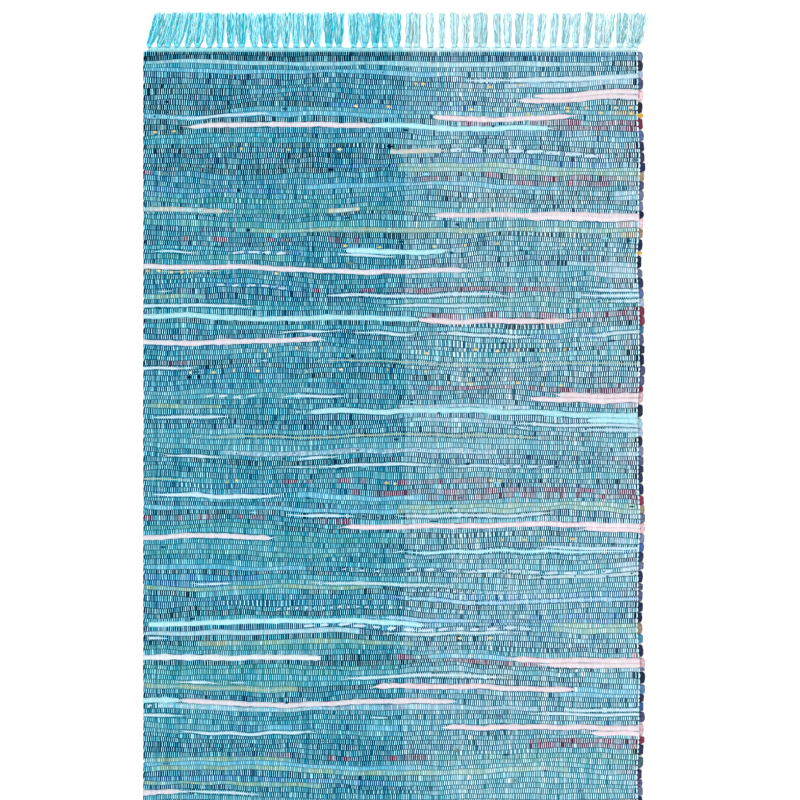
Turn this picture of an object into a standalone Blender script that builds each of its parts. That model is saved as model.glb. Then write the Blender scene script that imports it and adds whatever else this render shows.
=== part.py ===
"""Hand-woven rag rug with a ribbed weft of torn rags, looped selvedges and knotted fringes.

Units are metres. The warp and both fringes run along Y, the rag rows run along X, and the
underside lies flat on Z = 0. The rug's centre is over the origin.
"""

import math

import bmesh
import bpy

# The woven field
RUG_WIDTH = 0.750          # over the rag loops of both selvedges
WOVEN_LENGTH = 1.180       # from the first rag row to the last
ROWS = 160                 # rag rows, each a rounded rib across the rug
ROW_PITCH = WOVEN_LENGTH / ROWS
RIB_CREST = 0.0060         # thickness on the middle of a rag
RIB_VALLEY = 0.0044        # thickness where two rags meet
RIB_SWELL = 0.0003         # some rags are thicker than others

# The selvedges, where each rag turns back into the next row
LOOP_ROWS = 2              # rows that one loop spans
LOOP_NOTCH = 0.0050        # how far the edge draws in between two loops
LOOP_SLACK = 0.0030        # the tightest loop stops this far short of the loosest
EDGE_ROUND = 0.0040        # the edge's top rounds over this width
EDGE_UNDERCUT = 0.0015     # the edge's foot stands in by this much
EDGE_MIDDLE = 0.0028       # height at which a loop reaches furthest
COLUMNS = 5                # inner points across the rug that follow the rows' waves

# The headings and fringes
HEADING_DEPTH = 0.0097     # plain band of warp beyond the last rag
HEADING_THICK = 0.0030
PIECE_GAP = 0.0003         # between the woven field and a heading
TASSELS = 46               # knots along each end
FRINGE_LENGTH = 0.0480     # from the heading to the longest tip
LOCKS = (-1, 0, 1)         # each tassel parts into three locks, counted from its middle
SHORTEST_LOCK = 0.88       # as a share of the longest
ROOT_HALF_WIDTH = 0.0022
SHOULDER_DROP = 0.2        # a knot's or lock's edges are lower than its middle by this share
LEAN_AT_CORNER = 0.0150    # the tassels of one corner lie aslant, the first one by this much
LEAN_TASSELS = 8           # over this many tassels the slant fades out
LEAN_RIPPLE = 0.0006       # and the others differ by this much

# Sections of a knot: distance from the heading, half width, height
KNOT_SECTIONS = (
    {"out": 0.0032, "half_width": 0.0029, "height": 0.0052},
    {"out": 0.0068, "half_width": 0.0020, "height": 0.0034},
)

# Sections of a lock: share of its length, distance from the tassel's middle, half width, height
LOCK_SECTIONS = (
    {"along": 0.50, "spread": 0.0034, "half_width": 0.00140, "height": 0.0030},
    {"along": 1.00, "spread": 0.0044, "half_width": 0.00185, "height": 0.0020},
)

# Waves of the rag rows: height, wavelength across, wavelength along, phase
ROW_WAVES = (
    {"height": 0.0022, "across": 0.62, "along": 0.37, "phase": 0.6},
    {"height": 0.0014, "across": -0.41, "along": 0.19, "phase": 2.1},
    {"height": 0.0006, "across": 0.33, "along": 0.071, "phase": 4.0},
)
ROW_DROP = 0.0024          # from the left selvedge to the middle the rows sink by this much
CALM_POWER = 10            # the waves die out just before each end

WARP_COLOUR = (0.115, 0.352, 0.456)
FRINGE_COLOUR = (0.407, 0.716, 0.775)


def clear_scene():
    """Remove every object."""
    for thing in list(bpy.data.objects):
        bpy.data.objects.remove(thing, do_unlink=True)


def cotton(name, colour):
    """Matt cotton of one colour."""
    material = bpy.data.materials.new(name)
    material.use_nodes = True
    shader = material.node_tree.nodes["Principled BSDF"]
    shader.inputs["Base Color"].default_value = (*colour, 1.0)
    shader.inputs["Roughness"].default_value = 0.95
    shader.inputs["Metallic"].default_value = 0.0
    return material


def finish(bm, name, material):
    """Turn a bmesh into a named object whose faces point outwards."""
    bmesh.ops.recalc_face_normals(bm, faces=bm.faces)
    mesh = bpy.data.meshes.new(name)
    bm.to_mesh(mesh)
    bm.free()
    mesh.materials.append(material)
    mesh.shade_smooth()
    mesh.set_sharp_from_angle(angle=math.radians(50))
    piece = bpy.data.objects.new(name, mesh)
    bpy.context.scene.collection.objects.link(piece)
    return piece


def extrude_end(bm, faces):
    """Extrude joined faces as one end and return its new faces and points."""
    edges = {edge for face in faces for edge in face.edges}
    grown = bmesh.ops.extrude_face_region(bm, geom=[*faces, *edges])["geom"]
    new_faces = [part for part in grown if isinstance(part, bmesh.types.BMFace)]
    new_verts = [part for part in grown if isinstance(part, bmesh.types.BMVert)]
    return new_faces, new_verts


def row_wave(x, y):
    """How far a rag row that would lie straight at y strays along the rug at x."""
    stray = -ROW_DROP * x / (RUG_WIDTH / 2)
    for wave in ROW_WAVES:
        turns = x / wave["across"] + y / wave["along"]
        stray += wave["height"] * math.sin(2 * math.pi * turns + wave["phase"])
    calm = 1.0 - abs(2 * y / WOVEN_LENGTH) ** CALM_POWER
    return stray * calm


def edge_reach(row_place, first_turn):
    """Half width of the rug at a place counted in rows, with a round loop for every two rows.

    first_turn is 0 where the first loop holds two rows and 1 where it holds one.
    """
    last_loop = (ROWS + first_turn - 1) // LOOP_ROWS
    loop = min(int(row_place + first_turn) // LOOP_ROWS, last_loop)
    start = max(0, loop * LOOP_ROWS - first_turn)
    stop = min(ROWS, (loop + 1) * LOOP_ROWS - first_turn)
    across_loop = 2 * (row_place - start) / (stop - start) - 1
    bulge = math.sqrt(1 - across_loop ** 2)
    slack = LOOP_SLACK * ((5 * loop + 3 * first_turn) % 7) / 6
    return RUG_WIDTH / 2 - LOOP_NOTCH * (1 - bulge) - slack * bulge


def field_section(row_place):
    """Closed outline of the rug's cross-section at a place counted in rag rows from the top end."""
    middle_of_rag = (row_place % 1.0) == 0.5
    height = RIB_VALLEY
    if middle_of_rag:
        height = RIB_CREST + RIB_SWELL * math.sin(2.1 * row_place)
    left = edge_reach(row_place, 1)
    right = edge_reach(row_place, 0)
    inner_span = RUG_WIDTH / 2 - LOOP_NOTCH - 2 * EDGE_ROUND
    outline = [
        (-left + EDGE_UNDERCUT, 0.0),
        (-left, EDGE_MIDDLE),
        (-left + EDGE_ROUND, height),
    ]
    for column in range(COLUMNS):
        outline.append((inner_span * (2 * column / (COLUMNS - 1) - 1), height))
    outline += [
        (right - EDGE_ROUND, height),
        (right, EDGE_MIDDLE),
        (right - EDGE_UNDERCUT, 0.0),
    ]
    straight = WOVEN_LENGTH / 2 - row_place * ROW_PITCH
    return [(x, straight + row_wave(x, straight), z) for x, z in outline]


def build_field():
    """The woven cloth: its end face is extruded half a row at a time, crest and valley by turns."""
    bm = bmesh.new()
    face = bm.faces.new([bm.verts.new(point) for point in field_section(0.0)])
    for half_row in range(1, 2 * ROWS + 1):
        face = extrude_end(bm, [face])[0][0]
        for vert, point in zip(face.verts, field_section(half_row / 2)):
            vert.co = point
    return finish(bm, "woven_field", cotton("turquoise cotton and rags", WARP_COLOUR))


def place_section(verts, middle, y, half_width, height):
    """Set the points of an extruded end to a rounded section about the line x = middle."""
    low = min(vert.co.x for vert in verts)
    high = max(vert.co.x for vert in verts)
    for vert in verts:
        side = 2 * (vert.co.x - low) / (high - low) - 1
        top = height * (1 - SHOULDER_DROP * abs(side)) if vert.co.z > 0 else 0.0
        vert.co = (middle + side * half_width, y, top)


def corner_lean(tassel):
    """How far sideways a tassel's tip lies from its knot."""
    slant = LEAN_AT_CORNER * max(0.0, 1 - tassel / LEAN_TASSELS)
    return slant + LEAN_RIPPLE * math.sin(1.9 * tassel)


def lock_length(tassel, lock):
    """Length of one lock, the longest of them being the fringe's own."""
    step = (7 * tassel + 3 * lock) % 5
    return FRINGE_LENGTH * (1 - (1 - SHORTEST_LOCK) * step / 4)


def build_tassel(bm, walls, tassel, middle, edge, side):
    """Grow a knot and three locks from three joined wall faces of the heading."""
    faces = walls
    for section in KNOT_SECTIONS:
        faces, verts = extrude_end(bm, faces)
        place_section(verts, middle, edge + side * section["out"], section["half_width"], section["height"])
    lean = corner_lean(tassel)
    knot_end = KNOT_SECTIONS[-1]["out"]
    faces.sort(key=lambda end: end.calc_center_median().x)
    for lock, face in zip(LOCKS, faces):
        reach = lock_length(tassel, lock) - knot_end
        for section in LOCK_SECTIONS:
            face = bmesh.ops.extrude_discrete_faces(bm, faces=[face])["faces"][0]
            along = section["along"]
            centre = middle + lean * along + lock * section["spread"]
            y = edge + side * (knot_end + reach * along)
            place_section(face.verts, centre, y, section["half_width"], section["height"])


def build_fringe(name, side):
    """A heading with its tassels: side is 1 at the top end and -1 at the bottom end."""
    bm = bmesh.new()
    inner = side * (WOVEN_LENGTH / 2 + PIECE_GAP)
    edge = inner + side * HEADING_DEPTH
    half = RUG_WIDTH / 2 - LOOP_NOTCH - EDGE_ROUND
    pitch = 2 * half / TASSELS
    corners = [bm.verts.new((x, inner, 0.0)) for x in (half, -half)]
    corners.append(bm.verts.new((-half, edge, 0.0)))
    roots = []
    for tassel in range(TASSELS):
        middle = -half + (tassel + 0.5) * pitch
        steps = [middle + ROOT_HALF_WIDTH * third for third in (-1, -1 / 3, 1 / 3, 1)]
        roots.append([bm.verts.new((x, edge, 0.0)) for x in steps])
    last = bm.verts.new((half, edge, 0.0))
    outline = corners + [vert for root in roots for vert in root] + [last]
    base = bm.faces.new(outline)
    _, top = extrude_end(bm, [base])
    bmesh.ops.translate(bm, verts=top, vec=(0.0, 0.0, HEADING_THICK))
    for tassel, root in enumerate(roots):
        middle = (root[0].co.x + root[-1].co.x) / 2
        walls = []
        for first, second in zip(root, root[1:]):
            shared = bm.edges.get((first, second))
            walls.append(next(face for face in shared.link_faces if len(face.verts) == 4))
        build_tassel(bm, walls, tassel, middle, edge, side)
    return finish(bm, name, cotton("pale turquoise cotton of " + name, FRINGE_COLOUR))


clear_scene()
build_field()
build_fringe("fringe_top", 1)
build_fringe("fringe_bottom", -1)
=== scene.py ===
# A hand-woven rag rug: turquoise cotton warp over torn rags, rag loops along both selvedges and
# knotted warp ends as a fringe. Metres, warp along Y, rags along X, floor at Z = 0.
import math

import bpy
import numpy as np
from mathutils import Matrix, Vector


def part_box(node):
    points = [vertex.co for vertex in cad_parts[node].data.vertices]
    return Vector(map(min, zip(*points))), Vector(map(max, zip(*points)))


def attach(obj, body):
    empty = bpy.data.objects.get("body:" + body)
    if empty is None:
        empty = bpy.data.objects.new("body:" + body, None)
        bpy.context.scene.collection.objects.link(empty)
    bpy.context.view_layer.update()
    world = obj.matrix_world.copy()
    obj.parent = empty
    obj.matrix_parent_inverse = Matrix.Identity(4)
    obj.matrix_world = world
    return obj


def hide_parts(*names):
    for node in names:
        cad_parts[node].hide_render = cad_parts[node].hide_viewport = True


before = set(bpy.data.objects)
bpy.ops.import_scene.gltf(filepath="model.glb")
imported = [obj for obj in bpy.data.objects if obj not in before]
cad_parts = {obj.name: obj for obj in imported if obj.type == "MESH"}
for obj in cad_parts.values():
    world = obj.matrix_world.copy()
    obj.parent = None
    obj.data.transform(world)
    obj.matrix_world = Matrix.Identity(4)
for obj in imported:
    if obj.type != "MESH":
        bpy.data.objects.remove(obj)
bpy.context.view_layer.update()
fieldLow, fieldHigh = (np.array(corner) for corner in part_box("woven_field"))
dice = np.random.default_rng(41)  # one seeded source, so every run weaves the same rug


def fromHex(code):  # an sRGB hex value as the linear colour that shaders work in
    parts = np.array([int(code[i:i + 2], 16) for i in (1, 3, 5)]) / 255
    return np.where(parts <= 0.04045, parts / 12.92, ((parts + 0.055) / 1.055) ** 2.4)


def mixed(first, second, share):  # colours blended point by point
    share = np.asarray(share)[..., None]
    return first * (1 - share) + second * share


def between(pair, share):  # colours between two hex values
    return mixed(fromHex(pair[0]), fromHex(pair[1]), share)


def fromLeft(place):  # x of a place in centimetres from the left selvedge
    return fieldLow[0] + place / 100


def spots(x, y, z):  # points from coordinates that may be of unlike shapes
    return np.stack(np.broadcast_arrays(x, y, z), -1)


def each(values):  # one value for each patch, ready to spread over its grid
    return np.asarray(values)[:, None, None]


def ring(count):  # evenly spaced angles round a section
    return np.linspace(0, 2 * math.pi, count, endpoint=False)


# The rug's weave

weave = {
    "rows": 160,  # rag rows from one heading to the other
    "crest": 0.0056,  # top of a rag
    "valley": 0.0043,  # between two rags
    "underCrest": 0.0005,  # the same below, over the floor
    "underValley": 0.0018,
    "swell": 0.0003,  # rags differ in thickness
    "warpPitch": 0.00312,  # from float to float along a row
    "warpLeft": -0.3730,  # the outermost warp ends
    "warpRight": 0.3662,
    "splitX": 0.0150,  # deep turquoise warp to the left of here, pale to the right
    "unevenRow": 0.12,  # rows differ in thickness by this share of a row
    "unevenRag": (0.07, 0.11, 0.11),  # and each one along its length, in waves of these shares
    "ragTurns": ((1, 2.5), (2.5, 5), (6, 13)),  # waves across the rug, fewest and most
    "beatRows": 4,  # the weaver beats the rows even again every so many rows
    "rippleHigh": 0.00018,  # each ripple moves the rows to and fro by so much
    "calmRows": 5,  # the waves die out over so many rows at both ends
    "drop": 0.0024,  # the rows sink by this much from the left to the middle, as in the solids
    "endDraw": 0.0022,  # the first and the last rag lie this far inside the even line
    "gridColumns": 97,
    "swayFrom": 0.20,  # the cloth to the right of here follows the sway of its selvedge
    "swayOut": 0.0017,  # which lies this far out in the mean
    "swayMost": 1.05,  # and the loops beyond it move a little more than it does
}
rowWaves = (  # slow waves of the rows: the first three are those of the solids' ribs
    {"high": 0.0022, "across": 0.62, "along": 0.37, "phase": 0.6},
    {"high": 0.0014, "across": -0.41, "along": 0.19, "phase": 2.1},
    {"high": 0.0006, "across": 0.33, "along": 0.071, "phase": 4.0},
    {"high": 0.0008, "across": 0.24, "along": -0.12, "phase": 1.2},
    {"high": 0.0005, "across": -0.15, "along": 0.055, "phase": 5.1},
)
ripples = (  # short waves of the rows: turns across the rug and turns a row
    {"across": 5, "along": 0.13, "phase": 0.5},
    {"across": -8, "along": 0.09, "phase": 2.6},
    {"across": 13, "along": -0.16, "phase": 4.1},
)
selvedgeWaves = (  # slow waves of the right selvedge
    {"high": 0.0017, "along": 0.26, "phase": 4.3},
    {"high": 0.0008, "along": 0.11, "phase": 2.0},
)
rugWidth = fieldHigh[0] - fieldLow[0]
wovenLength = fieldHigh[1] - fieldLow[1]
rowPitch = wovenLength / weave["rows"]
rowSwell = dice.uniform(-1, 1, weave["rows"]) * weave["swell"]


def calmAt(row):  # 1 over most of the rug, falling to 0 at both ends
    return np.clip(np.minimum(row, weave["rows"] - row) / weave["calmRows"], 0, 1)


def layRows():
    # y of every row's upper edge at evenly spaced columns: its even place, plus the slow waves, less the
    # ripples and the sum of the uneven thicknesses of the rows above it. That sum is taken from its own
    # straight course between two rows that are beaten even, so the rows never drift away
    number = np.arange(weave["rows"] + 1)
    across = np.linspace(0, 1, weave["gridColumns"])
    x = (across - 0.5) * rugWidth
    even = wovenLength / 2 - number[:, None] * rowPitch
    stray = -weave["drop"] * x / (rugWidth / 2) + sum(
        wave["high"] * np.sin(2 * math.pi * (x / wave["across"] + even / wave["along"]) + wave["phase"])
        for wave in rowWaves)
    ripple = sum(
        np.sin(2 * math.pi * (wave["across"] * across + wave["along"] * number[:, None]) + wave["phase"])
        for wave in ripples)
    calm = calmAt(number)[:, None]
    drawn = weave["endDraw"] * (1 - calm) * np.sign(even)
    thickness = dice.normal(0, weave["unevenRow"], (len(number), 1))
    for share, (fewest, most) in zip(weave["unevenRag"], weave["ragTurns"]):
        turns, phase = dice.uniform((fewest, 0), (most, 2 * math.pi), (len(number), 2)).T[..., None]
        thickness = thickness + share * np.sin(2 * math.pi * turns * across + phase)
    run = np.cumsum(thickness, 0)
    beaten = number[::weave["beatRows"]]
    course = np.stack([np.interp(number, beaten, column[beaten]) for column in run.T], 1)
    return even + calm * (stray - weave["rippleHigh"] * ripple) - drawn - (run - course) * rowPitch


rowGrid = layRows()


def rowEdge(number, x):  # upper edge of a row, blended from the grid's columns on both sides
    column = np.clip((x / rugWidth + 0.5) * (weave["gridColumns"] - 1), 0, weave["gridColumns"] - 1.001)
    before = np.floor(column).astype(int)
    share = column - before
    return rowGrid[number, before] * (1 - share) + rowGrid[number, before + 1] * share


def rowLine(place, x):
    # a line that lies place rows below the top end: blend of the two row edges round it
    number = np.clip(np.floor(place), 0, weave["rows"] - 1).astype(int)
    part = place - number
    return (1 - part) * rowEdge(number, x) + part * rowEdge(number + 1, x)


def swayed(points):  # the sway grows with the square of the distance from where it starts
    y = points[..., 1]
    share = (points[..., 0] - weave["swayFrom"]) / (rugWidth / 2 - weave["swayFrom"])
    share = np.clip(share, 0, weave["swayMost"]) ** 2
    sway = weave["swayOut"] + sum(wave["high"] * np.sin(2 * math.pi * y / wave["along"] + wave["phase"])
                                  for wave in selvedgeWaves)
    moved = np.array(points, dtype=float)
    moved[..., 0] += sway * calmAt((wovenLength / 2 - y) / rowPitch) * share
    return moved


# Rags: sRGB colour; a factor of painted shade that darkens it where it lies deep between the warp ends;
# and how far the warp over them takes on its lighter shade
ragColumns = ("colour", "gapShade", "tint")
rags = {name: dict(zip(ragColumns, values)) for name, *values in (
    ("ink", "#00304a", 0.70, 0.00),
    ("navy", "#004068", 0.70, 0.00),
    ("teal", "#04627c", 0.70, 0.00),
    ("denim", "#086488", 0.70, 0.00),
    ("lake", "#1e8296", 0.70, 0.02),
    ("slate", "#4a8a9c", 0.70, 0.04),
    ("cobalt", "#20639a", 0.70, 0.02),
    ("sky", "#6aaccb", 0.72, 0.11),
    ("lavender", "#9db2c6", 0.70, 0.05),
    ("mauve", "#77708f", 0.45, 0.05),
    ("plum", "#3a2c46", 0.80, 0.03),
    ("charcoal", "#2c2a38", 0.80, 0.02),
    ("crimson", "#741c50", 0.70, 0.20),
    ("olive", "#8caa96", 0.68, 0.11),
    ("straw", "#b0b490", 0.50, 0.08),
    ("moss", "#3b4230", 0.80, 0.04),
    ("green", "#2f8488", 0.70, 0.08),
    ("sand", "#d9cfbb", 0.70, 0.18),
    ("khaki", "#a98f66", 0.50, 0.08),
    ("amber", "#dba32f", 0.25, 0.03),
    ("pink", "#cfc4cd", 0.70, 0.16),
    ("blush", "#cd9ca6", 0.50, 0.08),
    ("ice", "#9ad8df", 0.80, 0.20),
    ("white", "#9cbcc8", 0.80, 0.12),
    ("frost", "#a8c4d2", 0.85, 0.35),
)}
ragNames = list(rags)
ragColours = np.array([fromHex(rags[name]["colour"]) for name in ragNames])
ragGapShades = np.array([rags[name]["gapShade"] for name in ragNames])
ragTints = np.array([rags[name]["tint"] for name in ragNames])

# Rags laid into a row under the warp: row, then from and to in centimetres from the left selvedge
laidRags = {
    "sky": (
        (4, 0, 48), (13, 0, 38.4), (27, 24.3, 62.4), (90, 23.6, 41.9), (93, 0, 38.4), (105, 0, 24.5),
        (123, 42.6, 55), (129, 64.7, 75), (130, 62.9, 75), (137, 18.6, 22.4), (137, 34, 38.4),
        (145, 0, 54.9),
    ),
    "ink": ((0, 0, 44), (1, 0, 40)),
    "navy": ((0, 44, 55), (1, 40, 62)),
    "denim": ((0, 55, 75), (1, 62, 75)),
    "white": ((2, 0, 68), (133, 3, 29)),
    "lavender": (
        (6, 54, 73), (43, 63.3, 75), (45, 67, 75), (72, 38.4, 57.5), (75, 40.4, 55.7), (81, 11.6, 53),
        (133, 29, 58.4),
    ),
    "frost": ((118, 0, 33),),
    "lake": (
        (142, 44, 73), (145, 40, 73), (147, 44, 73), (148, 38, 73), (149, 44, 73), (151, 38, 73),
        (139, 60, 73), (40, 0, 12), (43, 2, 14), (98, 0, 38), (100, 0, 30), (115, 0, 38), (56, 0, 30),
        (67, 12, 40), (91, 0, 40),
    ),
    "slate": ((150, 40, 73), (122, 0, 30), (101, 0, 36), (95, 32, 60), (61, 8, 40)),
    "straw": ((120, 8, 16),),
    "green": (
        (32, 12.5, 57.5), (50, 38.4, 75), (51, 38.4, 75), (99, 19.5, 38.4), (42, 2.5, 22), (44, 18, 38),
        (121, 0, 34), (125, 0, 38), (126, 0, 30), (128, 0, 24), (102, 0, 30), (97, 0, 20), (30, 0, 30),
        (35, 0, 34), (143, 44, 75), (144, 50, 75),
    ),
    "olive": (
        (23, 38.4, 75), (24, 38.4, 75), (36, 13.8, 75), (50, 0, 9.3), (72, 0, 11.3), (92, 38.4, 75),
        (93, 38.4, 75), (109, 0, 35.4), (116, 61, 75), (117, 61, 75), (120, 16, 40), (129, 0, 23.7),
        (144, 0, 22.5), (146, 1.2, 63.8), (149, 0, 27),
    ),
    "sand": ((32, 28, 32.4),),
    "cobalt": ((11, 28, 50), (57, 58, 68), (48, 10.7, 24.3), (41, 13.4, 24.3)),
    "crimson": (
        (25, 0, 4.7), (38, 0, 34.5), (14, 46.4, 53.7), (14, 58, 75), (15, 61, 75), (25, 50.9, 70),
        (26, 41.3, 46), (26, 55, 70), (48, 24.8, 62), (53, 41.9, 75), (63, 2.1, 6.9), (68, 40.7, 75),
        (87, 20.6, 33.8), (87, 38.4, 51.9), (89, 28.2, 75), (90, 42, 75), (95, 0, 31.7), (124, 44.9, 60),
        (123, 38.7, 42.6), (140, 57.9, 75), (141, 57.9, 75), (143, 18.8, 23), (143, 27.5, 43.2),
    ),
}

# The rag that turns at each loop of the right selvedge, from the top end
rightLoops = """
lavender charcoal white mauve blush charcoal amber crimson denim plum plum navy khaki mauve lavender
lavender navy blush khaki navy amber ink lavender plum denim white crimson crimson slate mauve charcoal
ink mauve mauve crimson blush charcoal ice white charcoal lavender mauve plum plum navy crimson khaki
lavender blush lavender cobalt plum lavender plum mauve mauve navy ink khaki slate navy blush lavender ink
sky charcoal cobalt mauve blush crimson plum moss plum mauve lavender navy khaki plum slate plum
""".split()
loopShifts = {  # loop of the right selvedge, and how many rows lower than its even place it starts
    35: -0.9, 36: -0.9, 61: 0.9, 62: 0.9, 68: 0.5, 69: 1.0, 70: 1.0, 71: 1.5, 72: 1.9, 73: 2.1, 74: 1.6,
    75: 1.4, 76: 0.7,
}

ground = {
    "rags": ("ink", "navy", "teal", "denim", "lake", "slate", "cobalt"),  # most of the weft
    "shares": (0.16, 0.20, 0.38, 0.11, 0.07, 0.05, 0.03),
    "shortest": 0.10,  # length of a rag in the weft
    "longest": 0.90,
    "cell": 0.005,  # the weft changes rag in steps of this length
    "broken": ("crimson",),  # these rags twist as they run, so only a part of their length shows
    "brokenShare": (0.40, 0.88),  # on the left and on the right of the middle
    "edgeShortest": 0.005,  # how far a selvedge's rag runs back into its two rows
    "edgeLongest": 0.05,
}


def layWeft():
    # the weft as one line of rags sewn end to end that runs to and fro, so every other row is turned round;
    # then the charted rags and those of the right selvedge are laid over it
    cells = round(rugWidth / ground["cell"])
    total = weave["rows"] * cells
    shortest, longest = (round(ground[key] / ground["cell"]) for key in ("shortest", "longest"))
    lengths = dice.integers(shortest, longest, total // shortest)
    kinds = dice.choice([ragNames.index(name) for name in ground["rags"]], len(lengths), p=ground["shares"])
    weft = np.repeat(kinds, lengths)[:total].reshape(weave["rows"], cells)
    weft[1::2] = weft[1::2, ::-1]
    backs = dice.uniform(ground["edgeShortest"], ground["edgeLongest"], (len(rightLoops), 2))
    for loop, name in enumerate(rightLoops):
        for turn in (0, 1):
            back = round(backs[loop, turn] / ground["cell"])
            weft[2 * loop + turn, -back:] = ragNames.index(name)
    for name, places in laidRags.items():
        for row, start, stop in places:
            cell = np.arange(round(start / 100 / ground["cell"]), round(stop / 100 / ground["cell"]))
            if name in ground["broken"]:
                share = np.where(cell < cells / 2, *ground["brokenShare"])
                cell = cell[dice.random(len(cell)) < share]
            weft[row, cell] = ragNames.index(name)
    return weft


weft = layWeft()


def ragAt(row, x):  # which rag lies at x in a row
    cell = ((x - fieldLow[0]) / ground["cell"]).astype(int)
    return weft[row, np.clip(cell, 0, weft.shape[1] - 1)]


# Meshes and materials

uvMargin = 0.04  # of a patch's cell in the UV map stays free on every side


def surfacePiece(name, points, dye, facing=0, plan=None, faceDye=False):
    # many patches as one mesh. points is patch, along, across, xyz. With facing 0 each patch is a tube that
    # closes across and is capped; with 1 or -1 it is open and faces up or down. Each patch is turned the
    # right way by the sign of its volume, or of its upward area. plan is the box that the UVs map as seen
    # from above; without it each patch has a cell of its own.
    points = swayed(points)
    patches, along, across, _ = points.shape
    isTube = facing == 0
    patch, i, j = np.meshgrid(np.arange(patches), np.arange(along - 1),
                              np.arange(across if isTube else across - 1), indexing="ij")
    steps = ((0, 0), (1, 0), (1, 1), (0, 1))
    flat = points.reshape(-1, 3)
    quads = np.stack([(patch * along + i + di) * across + (j + dj) % across for di, dj in steps], -1)
    quads = quads.reshape(patches, -1, 4)
    corner = flat[quads]
    area = np.cross(corner[:, :, 2] - corner[:, :, 0], corner[:, :, 3] - corner[:, :, 1])
    inward = np.einsum("pqx,pqx->p", corner.mean(2) - corner.mean((1, 2))[:, None], area) < 0
    if not isTube:
        inward = facing * area[:, :, 2].sum(1) < 0
    quads[inward] = quads[inward][:, :, ::-1]
    faces = [quads.reshape(-1, 4)]
    if isTube:
        rim = (np.arange(patches) * along * across)[:, None] + np.arange(across)
        ends = np.stack([rim, rim[:, ::-1] + (along - 1) * across], 1)
        ends[~inward] = ends[~inward][:, :, ::-1]
        faces.append(ends.reshape(-1, across))
    loops = np.concatenate([part.ravel() for part in faces])
    sizes = np.concatenate([np.full(len(part), part.shape[1]) for part in faces])
    mesh = bpy.data.meshes.new(name)
    mesh.vertices.add(len(flat))
    mesh.vertices.foreach_set("co", flat.astype(np.float32).ravel())
    mesh.loops.add(len(loops))
    mesh.loops.foreach_set("vertex_index", loops.astype(np.int32))
    mesh.polygons.add(len(sizes))
    mesh.polygons.foreach_set("loop_start", (np.cumsum(sizes) - sizes).astype(np.int32))
    mesh.update(calc_edges=True)
    mesh.shade_smooth()
    uv = mesh.uv_layers.new(name="OFBake")
    if plan is not None:
        spread = (flat[loops][:, :2] - plan[0]) / (plan[1] - plan[0])
    else:
        side = math.ceil(math.sqrt(patches))
        lanes = across if isTube else across - 1
        unroll = [np.stack([(i + di) / (along - 1), (j + dj) / lanes], -1) for di, dj in steps]
        unroll = np.stack(unroll, -2).reshape(patches, -1, 4, 2)
        unroll[inward] = unroll[inward][:, :, ::-1]
        cell = np.stack([np.arange(patches) % side, np.arange(patches) // side], -1)
        spread = ((cell[:, None, None] + uvMargin + (1 - 2 * uvMargin) * unroll) / side).reshape(-1, 2)
        if isTube:
            capSpot = np.repeat((cell + 0.5) / side, 2 * across, 0)
            spread = np.concatenate([spread, capSpot])
    uv.uv.foreach_set("vector", spread.astype(np.float32).ravel())
    if faceDye:
        domain = "FACE"
        caps = np.broadcast_to(dye.mean((0, 1)), (len(sizes) - len(faces[0]), 3))
        tone = np.concatenate([dye.reshape(-1, 3), caps])
    else:
        domain = "POINT"
        tone = np.broadcast_to(dye, points.shape).reshape(-1, 3)
    colours = np.concatenate([tone, np.ones((len(tone), 1))], 1).astype(np.float32)
    mesh.attributes.new("dye", "FLOAT_COLOR", domain).data.foreach_set("color", colours.ravel())
    piece = bpy.data.objects.new(name, mesh)
    bpy.context.scene.collection.objects.link(piece)
    return piece


def planBox(points):  # lowest and highest x and y of a piece, with 10 mm to spare
    return points[..., :2].min((0, 1, 2)) - 0.01, points[..., :2].max((0, 1, 2)) + 0.01


def bySide(x, deep, pale):  # one value for the deep warp on the left, one for the pale on the right
    return np.where(x < weave["splitX"], deep, pale)


def sideDye(x, deep, pale):  # the same for two hex values
    return bySide(x[..., None], fromHex(deep), fromHex(pale))


def addNode(tree, kind, inputs=None, **settings):  # one node with its settings, values and incoming links
    node = tree.nodes.new(kind)
    for key, value in settings.items():
        setattr(node, key, value)
    for key, value in (inputs or {}).items():
        if isinstance(value, bpy.types.NodeSocket):
            tree.links.new(value, node.inputs[key])
        else:
            node.inputs[key].default_value = value
    return node


def clothMaterial(name, grain, shade, bump, roughness, sheen, gloss):
    # dyed cotton: the piece's own dye, mottled by a noise that is stretched along the fibres.
    # grain gives the noise's turns per metre along X, Y and Z, and shade its darkest and lightest factors
    material = bpy.data.materials.new(name)
    material.use_nodes = True
    tree = material.node_tree
    shader = tree.nodes["Principled BSDF"]
    dye = addNode(tree, "ShaderNodeAttribute", attribute_name="dye")
    place = addNode(tree, "ShaderNodeTexCoord")
    stretched = addNode(tree, "ShaderNodeMapping", {"Vector": place.outputs["Object"], "Scale": grain})
    mottle = addNode(tree, "ShaderNodeTexNoise",
                     {"Vector": stretched.outputs[0], "Scale": 1.0, "Detail": 3.0, "Roughness": 0.6})
    factor = addNode(tree, "ShaderNodeMapRange",
                     {"Value": mottle.outputs[0], "From Min": 0.3, "From Max": 0.7,
                      "To Min": shade[0], "To Max": shade[1]})
    toned = addNode(tree, "ShaderNodeVectorMath",
                    {0: dye.outputs["Color"], 1: factor.outputs[0]}, operation="MULTIPLY")
    relief = addNode(tree, "ShaderNodeBump",
                     {"Height": mottle.outputs[0], "Strength": 0.6, "Distance": bump})
    tree.links.new(toned.outputs[0], shader.inputs["Base Color"])
    tree.links.new(relief.outputs[0], shader.inputs["Normal"])
    for socket, value in (("Roughness", roughness), ("Specular IOR Level", gloss),
                          ("Sheen Weight", sheen), ("Sheen Roughness", 0.5)):
        shader.inputs[socket].default_value = value
    return material


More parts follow.
